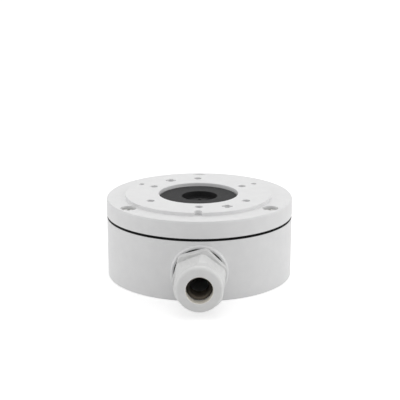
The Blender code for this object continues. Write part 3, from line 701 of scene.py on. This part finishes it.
def make_notch_cutter():
    """A slot with round ends, from the plate across its edge into the rim."""
    end_r = NOTCH_W / 2
    reach = (NOTCH_END_R - NOTCH_START_R) / 2 - end_r
    middle = (PLATE_X, -(NOTCH_END_R + NOTCH_START_R) / 2)

    def outline(radius, z, angle):
        along, across = abs(sin(angle)), abs(cos(angle))
        if along * end_r <= across * reach:
            slot_r = end_r / across
        else:
            slot_r = along * reach + sqrt(end_r ** 2 - (across * reach) ** 2)
        return radius - end_r + slot_r if radius > 0.0 else radius

    return hole_cutter("notch", end_r, NOTCH_Z, PLATE_Z, MOUTH_EDGE, middle, CROSS_STEPS, outline)


def plate_place(radius, degrees):
    x, y = polar(radius, degrees)
    return PLATE_X + x, y


def make_plate():
    """The raised plate with its collar, about the opening's own axis."""
    foot_z = RIM_Z - PLATE_LAP
    return turned("plate", [
        (CENTRE_R, PLATE_Z, CENTRE_EDGE), (PLATE_R, PLATE_Z, PLATE_EDGE),
        (PLATE_R, foot_z, PLATE_FOOT), (PLATE_R + BURY, foot_z),
        (PLATE_R + BURY, RIM_Z - BURY), (COLLAR_R, RIM_Z - BURY),
        (COLLAR_R, LEDGE_Z - LEDGE_T), (LEDGE_R, LEDGE_Z - LEDGE_T), (LEDGE_R, LEDGE_Z),
        (CENTRE_R, LEDGE_Z)], BIG_STEPS, at=(PLATE_X, 0.0))


def make_cover():
    shell_r = (CENTRE_R + COLLAR_R) / 2
    cover = turned("cover_shell", [
        (shell_r, RIM_Z), (COVER_R - RIM_LEAN, RIM_Z, RIM_EDGE),
        (COVER_R, RIM_Z - RIM_DROP, RIM_SOFTNESS), (COVER_R, COVER_Z, SEAM_EDGE),
        (COVER_IN_R, COVER_Z), (COVER_IN_R, CEILING_Z), (shell_r, CEILING_Z)], BIG_STEPS)
    solids = [make_plate(), make_lip()]
    cutters = []
    for place in screw_places():
        solids.append(rod("screw_boss", RECESS_R + RECESS_WALL, COVER_Z + END_GAP,
                          CEILING_Z + BURY, place))
        cutters.append(hole_cutter("recess", RECESS_R, RECESS_Z, RIM_Z, RECESS_EDGE, place,
                                   SCREW_STEPS))
        cutters.append(rod("screw_hole", SCREW_R + FIT_GAP, COVER_Z - OVERRUN, RECESS_Z + BURY,
                           place))
    fix_floor_z = PLATE_Z - FIX_DEPTH
    boss_z = PLATE_Z - FIX_DEPTH - FIX_FLOOR
    for hole_r, circle_r, angles in FIXING_HOLES:
        for angle in angles:
            place = plate_place(circle_r, angle)
            solids.append(rod("fix_boss", hole_r + FIX_WALL, boss_z, CEILING_Z + BURY, place))
            cutters.append(hole_cutter("fix_hole", hole_r, fix_floor_z, PLATE_Z, MOUTH_EDGE, place))
    cross_core_r, cross_circle_r, cross_angles = CROSS_HOLES
    for angle in cross_angles:
        cutters.append(cross_cutter("cross", cross_core_r + CROSS_CORE_EXTRA, CROSS_SPAN, CROSS_W,
                                    PLATE_Z - FIX_DEPTH / 2, PLATE_Z, MOUTH_EDGE,
                                    plate_place(cross_circle_r, angle)))
    cutters.append(make_notch_cutter())
    combine(cover, solids, "UNION")
    combine(cover, cutters, "DIFFERENCE")
    stand_for(cover, "cover", "housing", COAT)


# Grommet

def make_grommet():
    face_z = PLATE_Z - GROMMET_SINK
    flange_r = CENTRE_R - GROMMET_GAP
    neck_r = LEDGE_R - FIT_GAP
    bead_r = LEDGE_R + GROMMET_SNAP
    bead_z = LEDGE_Z - LEDGE_T - SEAT_GAP
    floor_z = face_z - CUP_DEPTH
    foot_z = bead_z - GROMMET_BEAD_T
    under_r = neck_r - (bead_r - neck_r)

    def cup_aside(radius, z, angle):
        """The cup and its hole are circles about an axis CUP_X to the right."""
        if radius > CUP_R + CUP_EDGE:
            return radius
        return CUP_X * cos(angle) + sqrt(radius ** 2 - (CUP_X * sin(angle)) ** 2)

    grommet = turned("rubber_grommet", [
        (CUP_R, face_z, CUP_EDGE), (flange_r, face_z, GROMMET_EDGE),
        (flange_r, LEDGE_Z + SEAT_GAP), (neck_r, LEDGE_Z + SEAT_GAP), (neck_r, bead_z),
        (bead_r, bead_z), (bead_r, bead_z - GROMMET_BEAD_T / 2), (neck_r, foot_z),
        (under_r, foot_z), (under_r, floor_z - CUP_FLOOR_T), (PIERCE_R, floor_z - CUP_FLOOR_T),
        (PIERCE_R, floor_z + CUP_FLOOR_RISE, PIERCE_EDGE), (CUP_FLOOR_R, floor_z, CUP_FLOOR_EDGE)],
        BIG_STEPS, shape=cup_aside, at=(PLATE_X, 0.0))
    stand_for(grommet, "cable_grommet", "housing", CUP_RUBBER_PAINTED_SHADE)


# Cover screws

def make_screws():
    for i, (place, turn) in enumerate(zip(screw_places(), DRIVE_TURNS), 1):
        screw = turned(f"recessed_screw_{i}", [
            (0.0, HEAD_Z), (SCREW_HEAD_R, HEAD_Z, HEAD_EDGE),
            (SCREW_HEAD_R, HEAD_FOOT_Z, HEAD_FOOT_EDGE), (SCREW_R, HEAD_FOOT_Z),
            (SCREW_R, SCREW_END_Z + SCREW_TIP), (SCREW_R - SCREW_TIP, SCREW_END_Z),
            (0.0, SCREW_END_Z)], SCREW_STEPS, at=place)
        drive = cross_cutter("drive", DRIVE_CORE_R, DRIVE_SPAN, DRIVE_W, HEAD_Z - DRIVE_DEPTH,
                             HEAD_Z, DRIVE_EDGE, place, radians(turn))
        combine(screw, [drive], "DIFFERENCE")
        stand_for(screw, f"cover_screw_{i}", "housing", STEEL)


# Gland

def make_gland_washer():
    washer = turned("flat_washer", [
        (NUT_BORE_R, WASHER_S + WASHER_T), (WASHER_R, WASHER_S + WASHER_T, WASHER_EDGE),
        (WASHER_R, WASHER_S, WASHER_EDGE), (NUT_BORE_R, WASHER_S)], GLAND_STEPS)
    moved(washer, GLAND_PLACE)
    stand_for(washer, "gland_washer", "housing", RUBBER)


def make_gland_body():
    corner_r = FLANGE_FLAT_R / cos(pi / 6)
    face_r = FLANGE_FLAT_R - FLANGE_SETBACK
    first = corner_angle(FLANGE_TURN)
    thread_low, thread_high = THREAD_S + NECK_L, GLAND_END_S - THREAD_CHAMFER

    def body_shape(radius, s, angle):
        """The flange's hexagon and a right-hand thread that fades at both ends."""
        if radius > face_r:
            return min(radius, hexagon_radius(FLANGE_FLAT_R, FLANGE_FILLET, angle - first))
        if thread_low < s < thread_high and radius > THREAD_R - THREAD_SKIN:
            # Root, crest and each flank take a quarter of the pitch
            phase = (s / THREAD_PITCH - angle / (2 * pi)) % 1.0
            flank = min(1.0, max(0.0, abs(phase - 0.5) * 4 - 0.5))
            fade = min(1.0, (s - thread_low) / THREAD_PITCH * 2,
                       (thread_high - s) / THREAD_PITCH * 2)
            return radius - THREAD_DEPTH * (1.0 - flank) * fade
        return radius

    body = turned("gland_barrel", [
        (SEAT_BORE_R, GLAND_END_S), (THREAD_R - THREAD_CHAMFER, GLAND_END_S),
        *line((THREAD_R, thread_high), (THREAD_R, thread_low), THREAD_PITCH / THREAD_ROWS),
        (THREAD_R - NECK_DEPTH, thread_low), (THREAD_R - NECK_DEPTH, THREAD_S),
        *line((face_r, THREAD_S), (corner_r, THREAD_S - FLANGE_BEVEL), BEVEL_SPACING),
        (corner_r, FLANGE_S + FLANGE_EDGE), (corner_r - FLANGE_EDGE, FLANGE_S),
        (THREAD_R, FLANGE_S), (THREAD_R, INNER_END_S + THREAD_CHAMFER),
        (THREAD_R - THREAD_CHAMFER, INNER_END_S), (SEAL_R, INNER_END_S),
        (SEAL_R, GLAND_END_S - SEAT_L), (SEAT_BORE_R, GLAND_END_S - SEAT_L)],
        THREAD_STEPS, first, body_shape)
    moved(body, GLAND_PLACE)
    stand_for(body, "gland_body", "housing", BARREL_NYLON_PAINTED_SHADE)


def make_gland_seal():
    seal = turned("rubber_seal", [
        (SEAL_BORE_R, SEAL_FRONT_S, SEAL_EDGE), (SEAL_R, SEAL_FRONT_S, SEAL_EDGE),
        (SEAL_R, SEAL_BACK_S, SEAL_EDGE), (SEAL_BORE_R, SEAL_BACK_S, SEAL_EDGE)], GLAND_STEPS)
    moved(seal, GLAND_PLACE)
    stand_for(seal, "gland_seal", "clamp_insert", SEAL_RUBBER_PAINTED_SHADE)


def make_dome_nut():
    mouth_s = NUT_FRONT_S - NUT_MOUTH_L
    shoulder_s = NUT_DOME_S - NUT_SHOULDER_L
    shoulder_r = NUT_CORNER_R - NUT_CORNER_LEAN
    back_r = NUT_FLAT_R - NUT_BACK_BEVEL
    first = corner_angle(NUT_TURN)

    def nut_shape(radius, s, angle):
        """Ribbed flats that narrow towards the dome."""
        if s > NUT_DOME_S or radius < back_r:
            return radius
        flat_r = NUT_FLAT_R - NUT_DRAFT * (s - NUT_S) / (NUT_DOME_S - NUT_S)
        off_flat = (angle - first) % (pi / 3) - pi / 6
        across = flat_r * tan(off_flat)
        rib = RIB_DEPTH * (0.5 - 0.5 * cos(2 * pi * across / RIB_PITCH))
        return min(radius, flat_r / cos(off_flat) - rib)

    nut = turned("dome_nut", [
        (NUT_MOUTH_R, NUT_FRONT_S, NUT_MOUTH_EDGE),
        (NUT_DOME_R, NUT_FRONT_S - NUT_FACE_LEAN, NUT_FRONT_EDGE),
        *line((NUT_DOME_R, NUT_DOME_S), (shoulder_r, shoulder_s), SHOULDER_SPACING),
        *line((shoulder_r, shoulder_s), (NUT_CORNER_R, NUT_S + NUT_BACK_BEVEL), SIDE_SPACING)[1:],
        *line((NUT_CORNER_R, NUT_S + NUT_BACK_BEVEL), (back_r, NUT_S), BEVEL_SPACING)[1:],
        (NUT_BORE_R, NUT_S), (NUT_BORE_R, mouth_s - NUT_CONE_L), (NUT_MOUTH_R, mouth_s)],
        NUT_STEPS, first, nut_shape)
    moved(nut, GLAND_PLACE)
    stand_for(nut, "gland_dome_nut", "dome_nut", NUT_NYLON_PAINTED_LIGHT)


def dress_inner_nodes():
    """The nodes whose shape stays as it is in the frame."""
    looks = {"gland_cage": NYLON, "gland_locknut": NYLON}
    looks.update({f"screw_seal_ring_{i}": RUBBER for i in range(1, len(SCREW_ANGLES) + 1)})
    for name, material in looks.items():
        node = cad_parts[name]
        node.data.materials.clear()
        node.data.materials.append(material)


# Camera, floor and light

CAMERA_DISTANCE = 751.84 * MM
CAMERA_PITCH = radians(15.453)
CAMERA_AIM_Z = 40.372 * MM
CAMERA_SIDE = 0.32 * MM
FOCAL_PIXELS = 1391.75
IMAGE_PIXELS = 400.0
SENSOR_MM = 36.0
CLIP_START = 10.0 * MM
CLIP_END = 20.0
WORLD_LEVEL = 0.53
FLOOR_ALBEDO = 0.75
FLOOR_LIFT = 0.5             # glow that only straight, glossy and transmitted rays see
FLOOR_HALF = 4.0
FLOOR_Z = -0.04 * MM         # a hair below the box's flat underside

# Place, aim, side length and power in watts
SOFTBOXES = {
    "top": ((0.0, 0.1, 1.2), (0.0, 0.0, 0.0), 1.2, 1.8),
    "back": ((0.0, 1.0, 1.0), (0.0, 0.0, 0.0), 0.9, 3.0),
    "left": ((-1.1, -0.1, 0.45), (0.0, 0.0, 0.03), 0.9, 2.8),
    "right": ((1.1, -0.1, 0.45), (0.0, 0.0, 0.03), 0.9, 3.7),
    "left_front": ((-0.9, -0.9, 0.5), (0.0, 0.0, 0.03), 0.7, 0.5),
    "right_front": ((0.9, -0.9, 0.5), (0.0, 0.0, 0.03), 0.7, 0.8),
}


def make_camera():
    data = bpy.data.cameras.new("camera")
    data.sensor_width = SENSOR_MM
    data.lens = SENSOR_MM * FOCAL_PIXELS / IMAGE_PIXELS
    data.clip_start = CLIP_START
    data.clip_end = CLIP_END
    camera = bpy.data.objects.new("camera", data)
    bpy.context.scene.collection.objects.link(camera)
    camera.location = (CAMERA_SIDE, -CAMERA_DISTANCE * cos(CAMERA_PITCH),
                       CAMERA_AIM_Z + CAMERA_DISTANCE * sin(CAMERA_PITCH))
    camera.rotation_euler = (pi / 2 - CAMERA_PITCH, 0.0, 0.0)
    bpy.context.scene.camera = camera


def add_seen_factor(tree):
    """1 for rays that see the background straight, in a reflection or through glass."""
    path = tree.nodes.new("ShaderNodeLightPath")
    seen = path.outputs["Is Camera Ray"]
    for ray in ("Is Glossy Ray", "Is Transmission Ray"):
        either = tree.nodes.new("ShaderNodeMath")
        either.operation = "MAXIMUM"
        tree.links.new(seen, either.inputs[0])
        tree.links.new(path.outputs[ray], either.inputs[1])
        seen = either.outputs[0]
    return seen


def make_world():
    world = bpy.data.worlds.new("studio")
    bpy.context.scene.world = world
    world.use_nodes = True
    tree = world.node_tree
    background = tree.nodes["Background"]
    background.inputs["Color"].default_value = (1.0, 1.0, 1.0, 1.0)
    level = add_range(tree, add_seen_factor(tree), WORLD_LEVEL, 1.0, 0.0, 1.0)
    tree.links.new(level, background.inputs["Strength"])


def make_floor():
    """A pale floor that reads as white and still takes the object's shadow."""
    mesh = bpy.data.meshes.new("floor")
    corners = ((-1, -1), (1, -1), (1, 1), (-1, 1))
    verts = [(x * FLOOR_HALF, y * FLOOR_HALF, FLOOR_Z) for x, y in corners]
    mesh.from_pydata(verts, [], [(0, 1, 2, 3)])
    floor = new_object("floor", mesh)
    material, tree, shader = node_material("floor", (FLOOR_ALBEDO,) * 3, 0.9, specular=0.0)
    shader.inputs["Emission Color"].default_value = (1.0, 1.0, 1.0, 1.0)
    lift = add_range(tree, add_seen_factor(tree), 0.0, FLOOR_LIFT, 0.0, 1.0)
    tree.links.new(lift, shader.inputs["Emission Strength"])
    mesh.materials.append(material)


def make_lights():
    for name, (location, aim, side, power) in SOFTBOXES.items():
        data = bpy.data.lights.new(name, "AREA")
        data.shape = "SQUARE"
        data.size = side
        data.energy = power
        light = bpy.data.objects.new(name, data)
        bpy.context.scene.collection.objects.link(light)
        light.location = location
        light.rotation_euler = (Vector(aim) - Vector(location)).to_track_quat("-Z", "Y").to_euler()


make_camera()
make_base()
make_gasket()
make_cover()
make_grommet()
make_screws()
make_gland_washer()
make_gland_body()
make_gland_seal()
make_dome_nut()
dress_inner_nodes()
make_world()
make_floor()
make_lights()

scene = bpy.context.scene
scene.view_settings.view_transform = "Standard"
